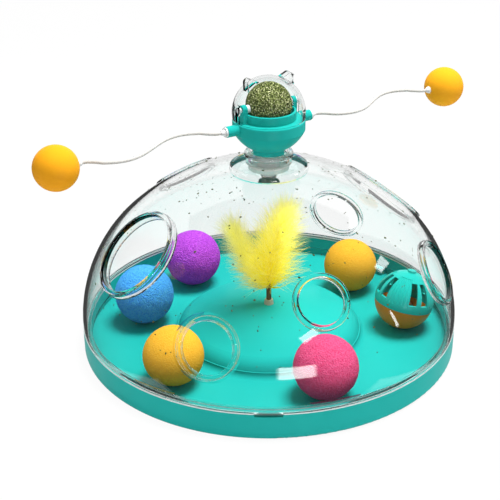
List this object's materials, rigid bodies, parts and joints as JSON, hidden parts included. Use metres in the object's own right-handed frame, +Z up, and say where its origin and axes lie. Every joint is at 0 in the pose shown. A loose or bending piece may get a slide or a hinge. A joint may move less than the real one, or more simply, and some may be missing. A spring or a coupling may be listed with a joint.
{
  "type": "cat puzzle feeder",
  "caption": "Round tray of loose balls under a clear dome with paw holes; a spinning head on top holds a catnip ball, its clear cat-ear cover and two springy ball arms.",
  "frame": {"origin": "on the ground, under the middle of the round tray", "axes": "+Z up along the dome's axis; +X to the right and +Y away in the picture; the arms lie 32 degrees round from X at rest"},
  "size_m": [0.279, 0.26, 0.1904],
  "materials": {
    "turquoise_plastic": "glossy moulded",
    "clear_plastic": "clear polished",
    "pad_rubber": "matte",
    "cream_plastic": "satin",
    "quill_brown": "satin",
    "plume_yellow": "fluffy",
    "white_plastic": "glossy",
    "wire_white": "coated",
    "orange_plastic": "glossy",
    "catnip_green": "pressed flakes",
    "foam_purple": "closed-cell foam",
    "foam_blue": "closed-cell foam",
    "foam_pink": "closed-cell foam",
    "cap_green": "glossy moulded",
    "bell_brass": "plated",
    "pellet_steel": "plain"
  },
  "bodies": {
    "base": {"base_tray": "turquoise_plastic", "foot_pads": "pad_rubber", "feather_holder": "cream_plastic"},
    "feather": {"feather_stem": "quill_brown", "plume_left": "plume_yellow", "plume_right": "plume_yellow"},
    "dome": {"dome_shell": "clear_plastic", "bearing_cup": "clear_plastic"},
    "head": {"head_bowl": "turquoise_plastic", "head_spindle": "white_plastic", "spindle_cap": "cap_green", "arm_plug_left": "white_plastic", "arm_plug_right": "white_plastic"},
    "catnip": {"catnip_ball": "catnip_green", "catnip_axle": "white_plastic"},
    "cover": {"cat_ear_cover": "clear_plastic"},
    "arm_left": {"arm_wire_left": "wire_white", "ball_ferrule_left": "white_plastic", "arm_ball_left": "orange_plastic"},
    "arm_right": {"arm_wire_right": "wire_white", "ball_ferrule_right": "white_plastic", "arm_ball_right": "orange_plastic"},
    "purple_ball": {"foam_ball_purple": "foam_purple"},
    "blue_ball": {"foam_ball_blue": "foam_blue"},
    "pink_ball": {"foam_ball_pink": "foam_pink"},
    "back_ball": {"smooth_ball_back": "orange_plastic"},
    "front_ball": {"smooth_ball_front": "orange_plastic"},
    "bell_ball": {"bell_cage_upper": "turquoise_plastic", "bell_cage_lower": "orange_plastic"},
    "bell": {"jingle_bell": "bell_brass"},
    "pellet": {"bell_pellet": "pellet_steel"}
  },
  "joints": [
    {"name": "dome_lift", "type": "slide", "parent": "base", "child": "dome", "axis": [0, 0, 1], "range_m": [0, 0.15]},
    {"name": "head_spin", "type": "hinge", "parent": "dome", "child": "head", "pos_m": [0, 0, 0.1363], "axis": [0, 0, 1], "continuous": true},
    {"name": "catnip_spin", "type": "hinge", "parent": "head", "child": "catnip", "pos_m": [0, 0, 0.1705], "axis": [0.848, 0.5299, 0], "continuous": true},
    {"name": "cover_lift", "type": "slide", "parent": "head", "child": "cover", "axis": [0, 0, 1], "range_m": [0, 0.045]},
    {"name": "arm_right_flex", "type": "hinge", "parent": "head", "child": "arm_right", "pos_m": [0.0307, 0.01918, 0.1578], "axis": [0.5299, -0.848, 0], "range_deg": [-18, 18], "stiffness_Nm_per_rad": 0.6, "springref_deg": 1.26},
    {"name": "arm_left_flex", "type": "hinge", "parent": "head", "child": "arm_left", "pos_m": [-0.0307, -0.01918, 0.1578], "axis": [-0.5299, 0.848, 0], "range_deg": [-18, 18], "stiffness_Nm_per_rad": 0.6, "springref_deg": 1.26},
    {"name": "feather_sway", "type": "hinge", "parent": "base", "child": "feather", "pos_m": [0, 0, 0.0279], "axis": [0, 1, 0], "range_deg": [-12, 12], "stiffness_Nm_per_rad": 0.15},
    {"name": "purple_ball_roll", "type": "hinge", "parent": "base", "child": "purple_ball", "pos_m": [0, 0, 0.0235], "axis": [0, 0, 1], "range_deg": [-7, 7]},
    {"name": "blue_ball_roll", "type": "hinge", "parent": "base", "child": "blue_ball", "pos_m": [0, 0, 0.0235], "axis": [0, 0, 1], "range_deg": [-7, 7]},
    {"name": "pink_ball_roll", "type": "hinge", "parent": "base", "child": "pink_ball", "pos_m": [0, 0, 0.0235], "axis": [0, 0, 1], "range_deg": [-7, 7]},
    {"name": "back_ball_roll", "type": "hinge", "parent": "base", "child": "back_ball", "pos_m": [0, 0, 0.0235], "axis": [0, 0, 1], "range_deg": [-7, 7]},
    {"name": "front_ball_roll", "type": "hinge", "parent": "base", "child": "front_ball", "pos_m": [0, 0, 0.0235], "axis": [0, 0, 1], "range_deg": [-7, 7]},
    {"name": "bell_ball_roll", "type": "hinge", "parent": "base", "child": "bell_ball", "pos_m": [0, 0, 0.0235], "axis": [0, 0, 1], "range_deg": [-7, 7]},
    {"name": "bell_rattle", "type": "slide", "parent": "bell_ball", "child": "bell", "axis": [0.2095, 0.121, 0.9703], "range_m": [0, 0.0184]},
    {"name": "pellet_rattle", "type": "slide", "parent": "bell", "child": "pellet", "axis": [0.2095, 0.121, 0.9703], "range_m": [0, 0.0114]}
  ]
}
